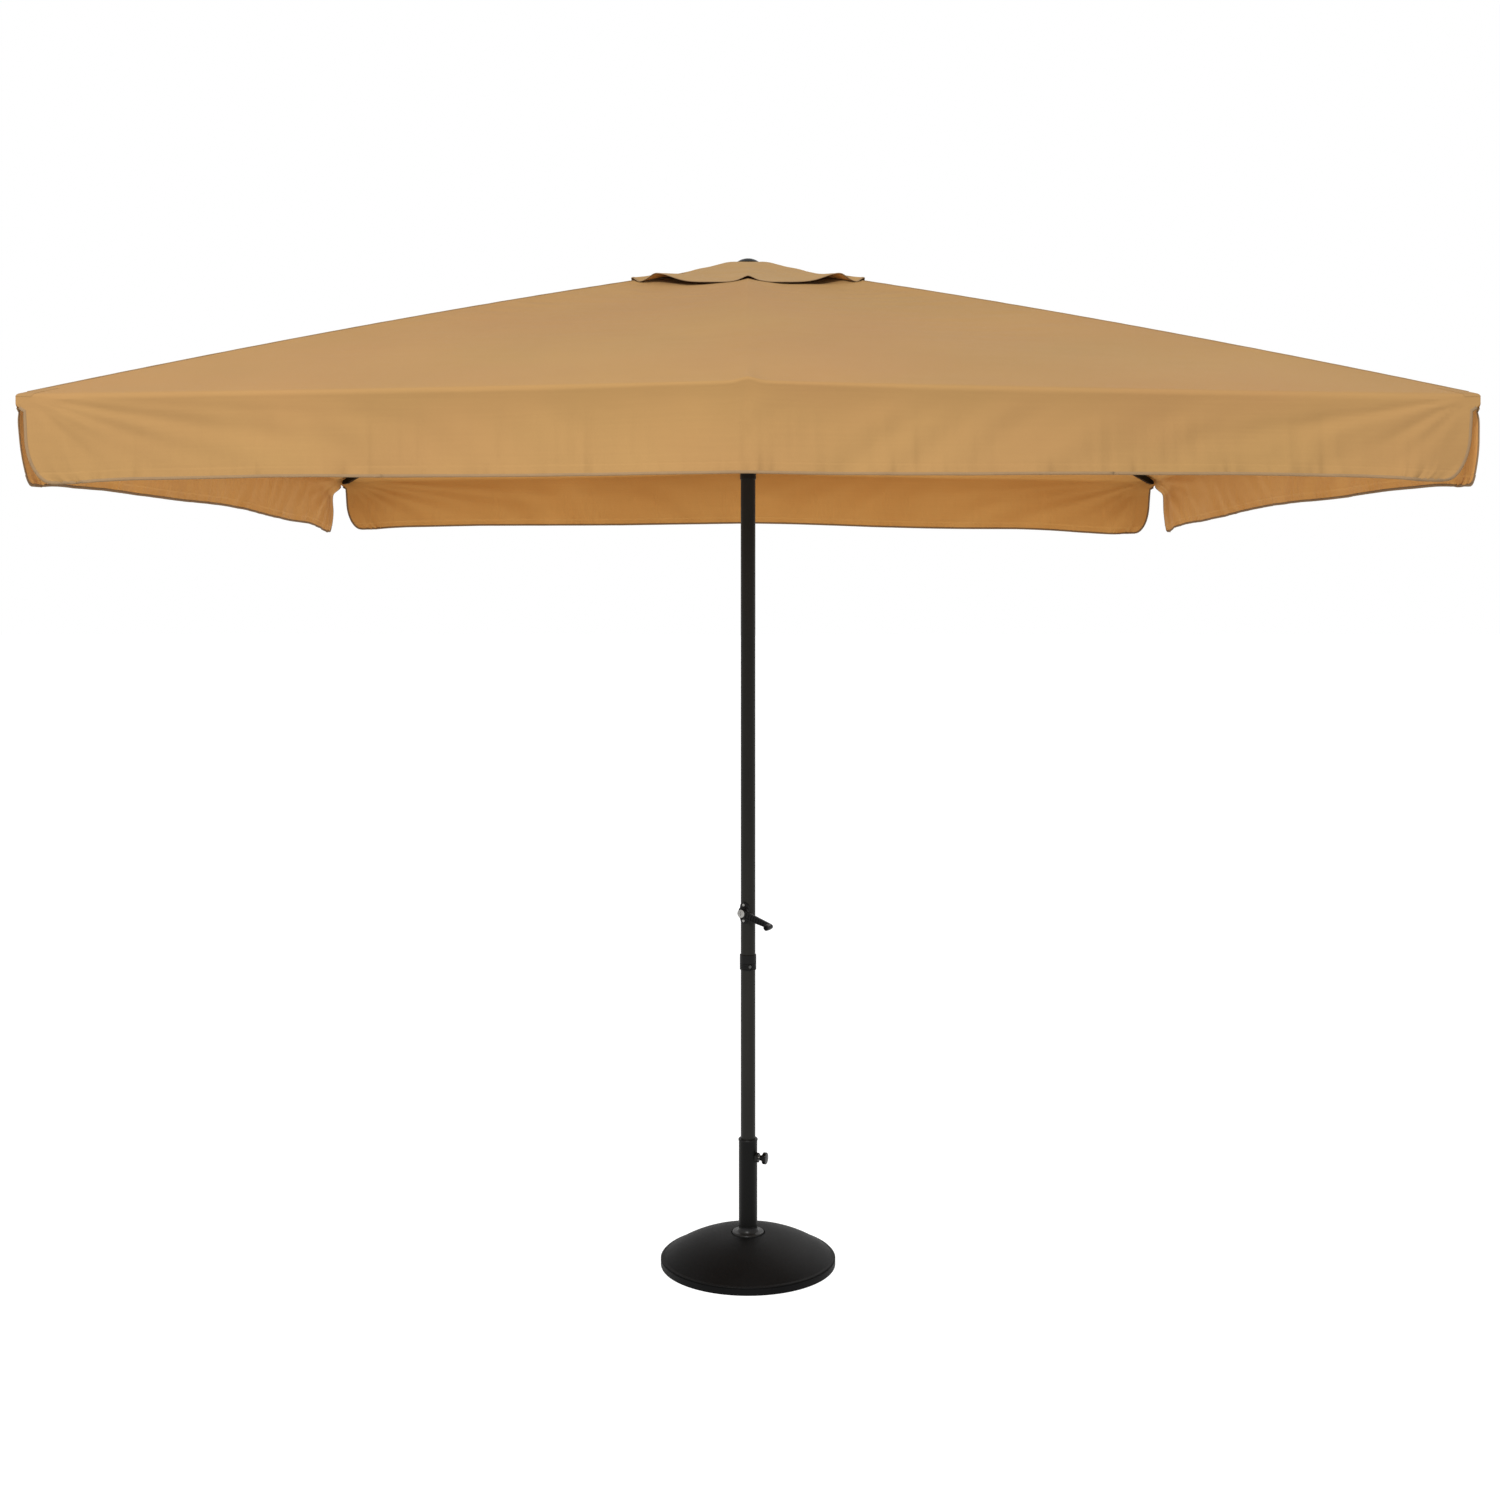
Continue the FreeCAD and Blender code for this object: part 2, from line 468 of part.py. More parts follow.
def strut(link):
    """Open-bottomed channel from the runner's eye, at the origin, to the rib's bracket along +X."""
    r, n = STRUT_H / 2, link.strut_length
    small = 6.0
    shape = [(0, small), ((-small, 0), (0, -small)), (16, -r), (n, -r), ((n + r, 0), (n, r)), (16, r)]
    bar = prism(shape, EYE_W)
    bar = bar.cut(box(18, n - 14, -EYE_W / 2 + STRUT_WALL, EYE_W / 2 - STRUT_WALL, -20, r - STRUT_WALL))
    return bar.cut(crosswise(0, PIN_R + GAP, 20)).cut(crosswise(n, PIN_R + FIT, 20))


def leaning(azimuth, radius, z, angle, up):
    """Frame at a pivot: local X runs out along a bar at this angle from the vertical."""
    a = math.radians(angle)
    out, rise = radial(azimuth), V(0, 0, 1)
    along = out * math.sin(a) + rise * (math.cos(a) if up else -math.cos(a))
    normal = out * (-math.cos(a) if up else math.cos(a)) + rise * math.sin(a)
    return frame_at(radial(azimuth, radius, z), along, normal)


MID = Link(HALF - 6, MID_TIP_Z - 11.5)
CORNER = Link((HALF - 7) * math.sqrt(2) - 4, CORNER_TIP_Z - 11.5)


def ribs():
    made = {link: (rib(link), strut(link)) for link in (MID, CORNER)}
    for i in range(8):
        link = CORNER if i % 2 else MID
        (tube, fittings), bar = made[link]
        azimuth = 45 * i
        at = leaning(azimuth, HUB_PIVOT_R, HUB_PIVOT_Z, link.open_angle, up=False)
        parts[f"rib_{i + 1}"] = placed(tube, at)
        parts[f"rib_fittings_{i + 1}"] = placed(fittings, at)
        strut_at = leaning(azimuth, RUNNER_PIVOT_R, RUNNER_PIVOT_Z, link.strut_angle, up=True)
        parts[f"strut_{i + 1}"] = placed(bar, strut_at)


# ---- cloth ----
def cloth_height(share, weight):
    """Top of the cloth at a share of the way out, from a middle rib (weight 0) to a corner rib (1)."""
    tip = MID_TIP_Z + (CORNER_TIP_Z - MID_TIP_Z) * weight
    return tip + (APEX_Z - tip) * (1 - share) + 4 * CLOTH_BOW * share * (1 - share)


def flap_height(half, weight):
    share = (half - FLAP_HOLE_HALF) / (FLAP_HALF - FLAP_HOLE_HALF)
    return APEX_Z + (FLAP_EDGE_Z - APEX_Z) * share


def thin_shell(cells, outer, inner):
    """Closed solid between two matching sheets, given as cells of vertex keys."""
    faces, open_edges = [], {}

    def add(points):
        for i in range(1, len(points) - 1):
            corner = [points[0], points[i], points[i + 1]]
            faces.append(Part.Face(Part.makePolygon(corner + [corner[0]])))

    for cell in cells:
        add([outer[k] for k in cell])
        add([inner[k] for k in reversed(cell)])
        for a, b in zip(cell, cell[1:] + cell[:1]):
            if (b, a) in open_edges:
                del open_edges[b, a]
            else:
                open_edges[a, b] = True
    for a, b in open_edges:
        add([outer[b], outer[a], inner[a], inner[b]])
    solid = Part.makeSolid(Part.makeShell(faces))
    return solid if solid.Volume > 0 else solid.reversed()


def plan(half, weight, corner_sector):
    """Where a column crosses the square of this half width, in the sector's own quarter."""
    if corner_sector:
        return (half, half * weight) if weight <= 1 else (half * (2 - weight), half)
    return half, half * weight


def sheet_part(rows, columns, height, corner_sector, hem):
    """One sector of a cloth: rows are square half widths, and columns are shares of the side."""
    outer, inner, cells = {}, {}, []
    for i, half in enumerate(rows):
        for j, w in enumerate(columns):
            x, y = plan(half, w, corner_sector)
            lean = abs(w) if w <= 1 else 2 - w
            top = V(x, y, height(half, lean))
            outer[i, j] = top
            edge = hem and i == len(rows) - 1
            in_x = CLOTH_T if edge and w <= 1 else 0
            in_y = CLOTH_T if edge and corner_sector and w >= 1 else 0
            inner[i, j] = top - V(in_x, in_y, CLOTH_T)
    for i in range(len(rows) - 1):
        for j in range(len(columns) - 1):
            cells.append([(i, j), (i + 1, j), (i + 1, j + 1), (i, j + 1)])
    if hem:
        last = len(rows) - 1
        for j, w in enumerate(columns):
            lean = abs(w) if w <= 1 else 2 - w
            low = HEM_MID_Z + (HEM_END_Z - HEM_MID_Z) * min(lean, 0.92) / 0.92
            if lean > 0.93:
                low += 60  # the valance's rounded end
            x, y = plan(HALF, w, corner_sector)
            shift = V(CLOTH_T, 0, 0) if w <= 1 else V(0, CLOTH_T, 0)
            outer["hem", j], inner["hem", j] = V(x, y, low), V(x, y, low) - shift
        for j in range(len(columns) - 1):
            if corner_sector and columns[j] == 1:
                cells.append([(last, j), ("hem", j + 1), (last, j + 1)])
            elif corner_sector and columns[j + 1] == 1:
                cells.append([(last, j), ("hem", j), (last, j + 1)])
            else:
                cells.append([(last, j), ("hem", j), ("hem", j + 1), (last, j + 1)])
    return thin_shell(cells, outer, inner)


def canopy():
    rows = [VENT_HOLE_HALF, 480.0, 780.0, 1080.0, HALF]
    flap_rows = [FLAP_HOLE_HALF, FLAP_HALF]
    split = 0.5 - 0.0002
    mid_columns = [-split, 0.0, split]
    outward = [0.5002, 0.92, 0.95]
    corner_columns = outward + [1.0] + [2 - w for w in reversed(outward)]
    made = {}
    for corner, columns in ((False, mid_columns), (True, corner_columns)):
        main = sheet_part(rows, columns, lambda h, w: cloth_height(h / HALF, w), corner, True)
        flap_columns = [c for c in columns if c in (columns[0], 0.0, 1.0, columns[-1])]
        flap = sheet_part(flap_rows, flap_columns, flap_height, corner, False)
        made[corner] = group(main, flap)
    for i in range(8):
        parts[f"canopy_sector_{i + 1}"] = spun(made[i % 2 == 1], 90 * (i // 2))


for build in (foot, clamp, pole, crank, head, runner, ribs, canopy):
    build()

for name, shape in parts.items():
    if not shape.isValid() or not shape.Solids:
        print("check this piece:", name)
    shape.exportStep(f"parts/{name}.step")
print(len(parts), "nodes")
for name, link in (("middle", MID), ("corner", CORNER)):
    print(name, vars(link))
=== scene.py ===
"""Looks of a square patio umbrella: cloth, cord and materials around the fixed CAD frame.

Metres, +Z up, the front is -Y. The canopy and its vent flap are each one cloth surface, made in
eight wings that share their edges, so that each wing can follow its own rib.
"""
import json
import math

import bpy
import numpy as np
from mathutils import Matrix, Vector


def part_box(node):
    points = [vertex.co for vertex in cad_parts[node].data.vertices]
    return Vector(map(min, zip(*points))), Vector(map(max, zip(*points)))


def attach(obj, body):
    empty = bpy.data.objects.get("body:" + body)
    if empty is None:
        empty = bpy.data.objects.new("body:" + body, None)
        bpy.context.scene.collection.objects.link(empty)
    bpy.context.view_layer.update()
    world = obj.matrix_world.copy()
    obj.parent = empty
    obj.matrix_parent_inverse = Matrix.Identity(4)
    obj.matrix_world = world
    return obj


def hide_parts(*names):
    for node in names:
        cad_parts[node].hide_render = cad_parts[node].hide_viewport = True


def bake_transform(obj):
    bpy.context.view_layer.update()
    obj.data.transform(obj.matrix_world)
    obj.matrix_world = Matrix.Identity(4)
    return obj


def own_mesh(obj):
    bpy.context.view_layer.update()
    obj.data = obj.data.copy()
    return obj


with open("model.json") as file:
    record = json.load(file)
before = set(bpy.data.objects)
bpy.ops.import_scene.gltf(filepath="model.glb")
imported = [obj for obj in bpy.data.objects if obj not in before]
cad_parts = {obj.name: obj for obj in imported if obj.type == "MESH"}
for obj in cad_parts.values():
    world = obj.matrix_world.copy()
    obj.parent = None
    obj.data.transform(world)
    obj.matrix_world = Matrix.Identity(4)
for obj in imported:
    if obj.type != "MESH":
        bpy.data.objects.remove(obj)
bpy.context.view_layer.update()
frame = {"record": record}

# ---- places and sizes, worked out from the frame ----
middle_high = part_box("canopy_sector_1")[1]
corner_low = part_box("canopy_sector_2")[0]
HALF = middle_high[0]  # half the canopy's side
APEX_Z = middle_high[2]
HEM_END_Z = corner_low[2]


# the canopy's top
CORNER_Z = HEM_END_Z + 0.163  # the fold between top and valance, at a corner
MIDDLE_Z = CORNER_Z + 0.0255  # the same fold beside a middle rib
FOLD_DIP = 0.003  # how far the fold sags between two ribs
TIP_POKE, TIP_W = 0.0075, 0.02  # how far a middle rib's tip lifts the fold, and over what width
CANOPY_BOW, GORE_SAG = 0.015, 0.0125
VENT_HALF = 0.2
# heights of its broad unevenness, of the drawn lines along a side, of the puckers and of the grain
BROAD_H, DRAWN_H, PUCKER_H, GRAIN_H = 0.0019, 0.0008, 0.0022, 0.00012
PUCKER_CORNER_W, PUCKER_MIDDLE_W = 0.032, 0.03  # how far puckers reach from the seams
# radius of the fold at a rib, how much more it is between ribs, and how much less at a corner
FOLD_TIGHT_R, FOLD_MORE_R, FOLD_CORNER_R = 0.007, 0.004, 0.006

# the valances: heights of the slow swing, the upright and slanting ripples and the hem's waves
SLOW_OUT, UPRIGHT_H, SLANT_H, HEM_WAVE_H = 0.0050, 0.0009, 0.0016, 0.0006
BILLOW = 0.0105  # how far the middle of the drop hangs back
HEM_TURN, STITCH_D = 0.0006, 0.0010  # thickness of the turned hem, depth of its line of stitches
STITCH_AT, STITCH_W = 0.885, 0.008  # shares of the drop
SEWN = 0.13  # share of the drop over which two valances are sewn together at a corner
END_STEP, END_SLOPE, END_ROUND = 0.016, 0.010, 0.043  # how a free end is cut back
FLICK_H, FLICK_AT, FLICK_W = 0.009, 0.87, 0.11  # the low point of a hem beside a loose end

# the vent flap
FLAP_HALF, FLAP_HOLE = 0.281, 0.028
FLAP_LOW_Z = 2.4858
FLAP_GAP = 0.0022  # least height of the flap over the canopy under it
FLAP_MIDDLE_LIFT, FLAP_MIDDLE_W = 0.0150, 0.024
FLAP_PEAK_LIFT, FLAP_PEAK_AT, FLAP_PEAK_IN, FLAP_PEAK_OUT = 0.0205, 0.221, 0.05, 0.024
FLAP_CORNER_LIFT, FLAP_WAVE_H = 0.010, 0.0022

# cloth and trim
CLOTH_T, CORNER_PATCH_T = 0.0009, 0.0006
BINDING_W, BINDING_T = 0.0032, 0.0012
PIPING_W, PIPING_T, PIPING_LIFT = 0.0020, 0.0014, 0.0003

# height of the hem above its ends, from the middle of a side to a corner
HEM_LEAN = [0.0, 0.31, 0.66, 0.84, 0.95, 1.0]
HEM_RISE = [0.0205, 0.0142, 0.0128, 0.0080, 0.0010, 0.0]
# for the +X, +Y, -X and -Y side: how far the low and the high end of its hem is lifted,
# and how far the low and the high end of its valance swings out
HEM_LIFT = [(0.0, -0.008), (-0.011, 0.0), (-0.008, 0.0), (0.0, 0.005)]
END_SWING = [(0.003, 0.022), (0.004, 0.004), (0.022, 0.003), (0.002, 0.002)]

# ---- small numeric helpers ----
def smooth(low, high, x):
    """0 below low, 1 above high, with a smooth rise between."""
    t = np.clip((x - low) / (high - low), 0, 1)
    return t * t * (3 - 2 * t)


def waves(seed, wavelength, count=14, stretch=(1.0, 1.0)):
    """A smooth random field of (x, y), about -1 to 1, made of sines near one wavelength."""
    r = np.random.RandomState(seed)
    angle = r.uniform(0, 2 * math.pi, count)
    k = 2 * math.pi / (wavelength * r.uniform(0.7, 1.5, count))
    phase = r.uniform(0, 2 * math.pi, count)
    kx, ky = k * np.cos(angle) / stretch[0], k * np.sin(angle) / stretch[1]

    def field(x, y):
        total = 0
        for i in range(count):
            total = total + np.sin(kx[i] * x + ky[i] * y + phase[i])
        return total / math.sqrt(count)

    return field


def ripples(seed, wavelength, count=9):
    """A smooth random line of x, about -1 to 1."""
    r = np.random.RandomState(seed)
    k = 2 * math.pi / (wavelength * r.uniform(0.6, 1.7, count))
    phase = r.uniform(0, 2 * math.pi, count)

    def line(x):
        return sum(np.sin(k[i] * x + phase[i]) for i in range(count)) / math.sqrt(count)

    return line


# ---- the canopy as one surface, side by side ----
# a runs from -1 to 1 along a side, from corner to corner, and 0 is its middle rib
broad = waves(3, 0.42)
fine = waves(5, 0.055)
stretch_lines = waves(8, 0.06, stretch=(1.0, 9.0))
puckers = waves(9, 0.07)


def fold_z(a):
    """Height of the fold between top and valance."""
    lean = np.abs(a)
    line = MIDDLE_Z + (CORNER_Z - MIDDLE_Z) * lean - FOLD_DIP * 4 * lean * (1 - lean)
    return line + TIP_POKE * np.exp(-((a * HALF / TIP_W) ** 2))


def top_z(half, a, x, y):
    """Height of the canopy's top, at this square half width; x and y are its place in plan."""
    share = half / HALF
    poke = TIP_POKE * np.exp(-((a * HALF / TIP_W) ** 2)) * (share**14 - 1)
    edge = fold_z(a) + poke
    z = edge + (APEX_Z - edge) * (1 - share) + 4 * CANOPY_BOW * share * (1 - share)
    lean = np.abs(a)
    gore = 4 * lean * (1 - lean)
    z = z - GORE_SAG * gore * smooth(0.1, 0.2, share) * smooth(1.0, 0.45, share)
    open_cloth = smooth(0.02, 0.14, lean) * smooth(1.0, 0.88, lean)
    z = z + BROAD_H * broad(x, y) * open_cloth * smooth(1.0, 0.93, share)
    z = z + DRAWN_H * stretch_lines(half, a * HALF) * open_cloth * smooth(0.95, 0.4, share)
    # short puckers beside the seams over the ribs
    beside = (1 - lean) * half / PUCKER_CORNER_W
    near_middle = lean * half / PUCKER_MIDDLE_W
    pucker = beside * np.exp(-(beside**2)) + 0.5 * near_middle * np.exp(-(near_middle**2))
    z = z + PUCKER_H * pucker * puckers(half, 0.2 * a) * smooth(1.0, 0.9, share)
    return z + GRAIN_H * fine(x, y)


def top_point(half, a):
    """Point of side 0, which faces +X."""
    x, y = half + 0 * a, half * a
    return np.stack([x, y, top_z(half, a, x, y)], -1)


def inset(t):
    """How far a valance's end is cut back from the corner, at a share of its drop."""
    rounding = np.clip((t - 0.5) / 0.5, 0, 1)
    return (END_STEP * smooth(SEWN, SEWN + 0.04, t) + END_SLOPE * np.clip(t - SEWN, 0, 1)
            + END_ROUND * (1 - np.sqrt(np.clip(1 - rounding**2, 0, 1))))


def drag_folds(seed):
    """Folds that fan out from a corner: angle below the level, width, height, reach."""
    r = np.random.RandomState(seed)
    plan = [(0.05, 0.022, 0.0020, 1.1), (0.12, 0.034, 0.0040, 1.0), (0.23, 0.05, 0.0060, 0.75),
            (0.38, 0.07, 0.0066, 0.55), (0.60, 0.10, 0.0058, 0.36), (0.95, 0.14, 0.0030, 0.26)]
    return [(angle * r.uniform(0.88, 1.12), width * r.uniform(1.05, 1.5), height * r.uniform(0.8, 1.15),
             reach * r.uniform(0.85, 1.1)) for angle, width, height, reach in plan]


class Valance:
    """One side's hanging strip. Each side has its own folds."""

    def __init__(self, side):
        self.lift = HEM_LIFT[side]
        self.swing = END_SWING[side]
        self.upright = ripples(20 + side, 0.034)
        self.tiny = ripples(40 + side, 0.016)
        self.slow = ripples(60 + side, 0.55, 5)
        self.folds = [drag_folds(80 + 2 * side + end) for end in (0, 1)]
        self.patch = waves(90 + side, 0.22)
        self.slant = waves(110 + side, 0.11, stretch=(1.0, 2.2))

    def point(self, a, t):
        """a along the side, t from 0 at the fold to 1 at the hem."""
        lean = np.abs(a)
        top, low = fold_z(a), self.hem_z(a)
        near_end = smooth(0.86, 1.0, lean)
        along = a * HALF
        y = along - np.sign(a) * inset(t) * near_end
        z = top + (low - top) * t
        out = SLOW_OUT * t * self.slow(along) + self.drag(along, top - z)
        out = out - BILLOW * np.sin(math.pi * np.clip(t, 0, 1) ** 0.8) * (1 - near_end)
        strength = 0.3 + 0.7 * smooth(-0.4, 0.9, self.patch(along * 0.8, 0 * z))
        out = out + UPRIGHT_H * smooth(0.1, 0.7, t) * strength * self.upright(along + 0.05 * z)
        slanting = self.slant(along + 0.9 * np.sign(a) * (top - z), z)
        out = out + SLANT_H * smooth(0.05, 0.5, t) * slanting
        out = out + HEM_WAVE_H * smooth(0.72, 1.0, t) * self.tiny(along)
        swing = np.where(a > 0, self.swing[1], self.swing[0])
        out = out + swing * smooth(0.72, 1.0, lean) * smooth(SEWN - 0.04, SEWN + 0.2, t)
        stitches = np.exp(-(((t - STITCH_AT) / STITCH_W) ** 2))
        out = out + HEM_TURN * smooth(0.868, 0.882, t) - STITCH_D * stitches
        sewn = smooth(0.955, 1.0, lean) * smooth(SEWN + 0.14, SEWN, t)
        return np.stack([HALF + out * (1 - sewn), y, z], -1)

    def hem_z(self, a):
        lean = np.abs(a)
        lift = np.where(a > 0, self.lift[1], self.lift[0])
        flick = np.where(lift < -0.005, FLICK_H, 0.0) * np.exp(-(((lean - FLICK_AT) / FLICK_W) ** 2))
        return HEM_END_Z + np.interp(lean, HEM_LEAN, HEM_RISE) + lift * smooth(0.05, 0.55, lean) - flick

    def drag(self, along, drop):
        """The folds from both corners, where the cloth hangs from the rib tips."""
        total = 0
        for end, folds in zip((-1, 1), self.folds):
            run = HALF - end * along
            reach = np.hypot(run, drop)
            angle = np.arctan2(drop, run + 0.004)
            for at, width, height, far in folds:
                ridge = np.exp(-(((angle - at) / width) ** 2))
                total = total + height * ridge * smooth(0.01, 0.12, reach) * smooth(far, far * 0.25, reach)
        return total


TOP_ROWS = np.linspace(VENT_HALF, HALF, 112)[:-4]
FOLD_ROWS = np.linspace(0, 1, 9)
DROP_ROWS = np.concatenate([np.linspace(0, 0.84, 22), np.linspace(0.86, 1.0, 14)])


def side_grid(valance, a):
    """Rows of points from the vent to the hem, for these places along a side."""
    lean = np.abs(a)
    fold_r = FOLD_TIGHT_R + FOLD_MORE_R * smooth(0.04, 0.3, lean)
    fold_r = fold_r - FOLD_CORNER_R * smooth(0.93, 1.0, lean)
    rows = []
    for half in TOP_ROWS:
        share = (half - VENT_HALF) / (TOP_ROWS[-1] - VENT_HALF)
        rows.append(top_point(VENT_HALF + (HALF - fold_r - VENT_HALF) * share, a))
    start = rows.pop()
    t0 = fold_r / (fold_z(a) - valance.hem_z(a))
    crease = np.stack([HALF + 0 * a, a * HALF, fold_z(a)], -1)
    end = valance.point(a, t0)
    for q in FOLD_ROWS:
        rows.append((1 - q) ** 2 * start + 2 * q * (1 - q) * crease + q * q * end)
    for t in DROP_ROWS[1:]:
        rows.append(valance.point(a, t0 + (1 - t0) * t))
    return np.array(rows)


# ---- the vent flap ----
flap_broad = waves(13, 0.13)
# distance out and height, on the way down from the finial to the edge
FLAP_PROFILE = [
    (0.028, 2.5785), (0.071, 2.566), (0.121, 2.5425), (0.169, 2.524), (0.217, 2.507), (0.281, 2.489)
]
FLAP_OUT, FLAP_HEIGHT = zip(*FLAP_PROFILE)
FLAP_CURVE = np.polyfit(FLAP_OUT, FLAP_HEIGHT, 4)


def flap_grid(a, rows):
    """The flap over the vent: drawn down from the finial, with an edge that lifts in places."""
    lean = np.abs(a)
    y = a * FLAP_HALF
    middle_lift = FLAP_MIDDLE_LIFT * np.exp(-((np.abs(y) / FLAP_MIDDLE_W) ** 1.6))
    from_peak = np.abs(y) - FLAP_PEAK_AT
    peak_w = np.where(from_peak > 0, FLAP_PEAK_OUT, FLAP_PEAK_IN)
    peak_lift = FLAP_PEAK_LIFT * np.exp(-((from_peak / peak_w) ** 2))
    edge = FLAP_LOW_Z + middle_lift + peak_lift + FLAP_CORNER_LIFT * smooth(0.93, 1.0, lean)
    points = []
    for half in np.linspace(FLAP_HOLE, FLAP_HALF, rows):
        share = (half - FLAP_HOLE) / (FLAP_HALF - FLAP_HOLE)
        z = np.polyval(FLAP_CURVE, half) + (edge - FLAP_HEIGHT[-1]) * share**2.4
        z = z + FLAP_WAVE_H * flap_broad(half, a * half) * share * (1 - share) * 4
        under = top_z(half, a, half + 0 * a, half * a) + FLAP_GAP * smooth(0.5, 0.75, share)
        z = np.where(half > VENT_HALF - 0.02, np.maximum(z, under), z)
        points.append(np.stack([half + 0 * a, half * a, z], -1))
    return np.array(points)


# ---- meshes ----
def turn(points, quarter):
    """Points of side 0, moved to the side this many quarter turns on."""
    x, y, z = points[..., 0], points[..., 1], points[..., 2]
    for _ in range(quarter % 4):
        x, y = -y, x
    return np.stack([x, y, z], -1)


def mesh_object(name, points, faces, uvs=None):
    mesh = bpy.data.meshes.new(name)
    mesh.from_pydata([tuple(p) for p in points], [], [tuple(f) for f in faces])
    mesh.update()
    mesh.shade_smooth()
    if uvs is not None:
        layer = mesh.uv_layers.new(name="cloth")
        index = np.empty(len(mesh.loops), int)
        mesh.loops.foreach_get("vertex_index", index)
        layer.data.foreach_set("uv", np.asarray(uvs)[index].astype(np.float32).ravel())
    obj = bpy.data.objects.new(name, mesh)
    bpy.context.scene.collection.objects.link(obj)
    return obj


class Patch:
    """A grid of points on one side's cloth, with its normals and flat coordinates."""

    def __init__(self, side_points, quarter, a, run):
        step = 1e-3
        self.points = side_points(quarter, a)
        ahead = side_points(quarter, np.minimum(a + step, 1))
        behind = side_points(quarter, np.maximum(a - step, -1))
        down = np.gradient(self.points, axis=0)
        self.normals = np.cross(down, ahead - behind)
        self.normals /= np.linalg.norm(self.normals, axis=-1)[..., None]
        along = self.points[..., 1] + 3 * quarter
        self.uvs = np.stack([along, np.broadcast_to(run[:, None], along.shape)], -1)
        self.points = turn(self.points, quarter)
        self.normals = turn(self.normals, quarter)

    def part(self, rows, columns, lift):
        """A smaller patch, lifted off this one."""
        piece = Patch.__new__(Patch)
        piece.normals = self.normals[rows, columns]
        piece.points = self.points[rows, columns] + lift * piece.normals
        piece.uvs = self.uvs[rows, columns]
        return piece

    def area(self):
        grid = self.points
        a, b = grid[1:, :-1] - grid[:-1, :-1], grid[:-1, 1:] - grid[:-1, :-1]
        c, d = grid[:-1, 1:] - grid[1:, 1:], grid[1:, :-1] - grid[1:, 1:]
        first = np.linalg.norm(np.cross(a, b), axis=-1).sum()
        return float(first + np.linalg.norm(np.cross(c, d), axis=-1).sum()) / 2


def sheet_mesh(name, patches, thickness):
    """Closed thin solid from patches that share edges. Outer faces take slot 0, inner ones slot 1.

    The normals are the surface's own, so that neighbouring wings shade as one cloth."""
    middle, normal, uvs, seen, quads, quad_normals = [], [], [], {}, [], []
    for patch in patches:
        rows, cols = patch.points.shape[:2]
        number = np.empty((rows, cols), int)
        for r in range(rows):
            for c in range(cols):
                key = tuple(np.round(patch.points[r, c], 6))
                if key not in seen:
                    seen[key] = len(middle)
                    middle.append(patch.points[r, c])
                    normal.append(np.zeros(3))
                    uvs.append(patch.uvs[r, c])
                number[r, c] = seen[key]
                normal[seen[key]] = normal[seen[key]] + patch.normals[r, c]
        for r in range(rows - 1):
            for c in range(cols - 1):
                corners = [(r, c), (r + 1, c), (r + 1, c + 1), (r, c + 1)]
                quads.append([number[k] for k in corners])
                quad_normals.append([patch.normals[k] for k in corners])
    middle, normal, uvs = np.array(middle), np.array(normal), np.array(uvs)
    normal /= np.linalg.norm(normal, axis=1)[:, None]
    count = len(middle)
    points = np.concatenate([middle + normal * thickness / 2, middle - normal * thickness / 2])
    faces, slots, loop_normals, open_edges = [], [], [], {}
    for quad, normals in zip(quads, quad_normals):
        faces.append(quad)
        loop_normals += normals
        faces.append([i + count for i in reversed(quad)])
        loop_normals += [-n for n in reversed(normals)]
        slots += [0, 1]
        for i, j in zip(quad, quad[1:] + quad[:1]):
            if (j, i) in open_edges:
                del open_edges[j, i]
            else:
                open_edges[i, j] = True
    for i, j in open_edges:
        faces.append([j, i, i + count, j + count])
        slots.append(0)
        side = np.cross(middle[j] - middle[i], normal[i])
        loop_normals += [side / np.linalg.norm(side)] * 4
    obj = mesh_object(name, points, faces, np.concatenate([uvs, uvs]))
    obj.data.polygons.foreach_set("material_index", slots)
    obj.data.normals_split_custom_set([tuple(n) for n in loop_normals])
    return obj


def tube_mesh(name, path, wide, thin, across):
    """A flattened tube along a path; across holds the direction of its wide axis at each point."""
    ring = 8
    path, across = np.asarray(path), np.asarray(across)
    ahead = np.gradient(path, axis=0)
    ahead /= np.linalg.norm(ahead, axis=1)[:, None]
    across = across - ahead * (across * ahead).sum(1)[:, None]
    across /= np.linalg.norm(across, axis=1)[:, None]
    other = np.cross(ahead, across)
    points, faces, uvs = [], [], []
    run = np.concatenate([[0], np.cumsum(np.linalg.norm(np.diff(path, axis=0), axis=1))])
    for i in range(len(path)):
        for j in range(ring):
            angle = 2 * math.pi * j / ring
            offset = wide * math.cos(angle) * across[i] + thin * math.sin(angle) * other[i]
            points.append(path[i] + offset)
            uvs.append((run[i], j / ring))
    for i in range(len(path) - 1):
        for j in range(ring):
            a, b = i * ring + j, i * ring + (j + 1) % ring
            faces.append([a, b, b + ring, a + ring])
    faces.append(list(reversed(range(ring))))
    faces.append(list(range((len(path) - 1) * ring, len(path) * ring)))
    return mesh_object(name, points, faces, uvs)


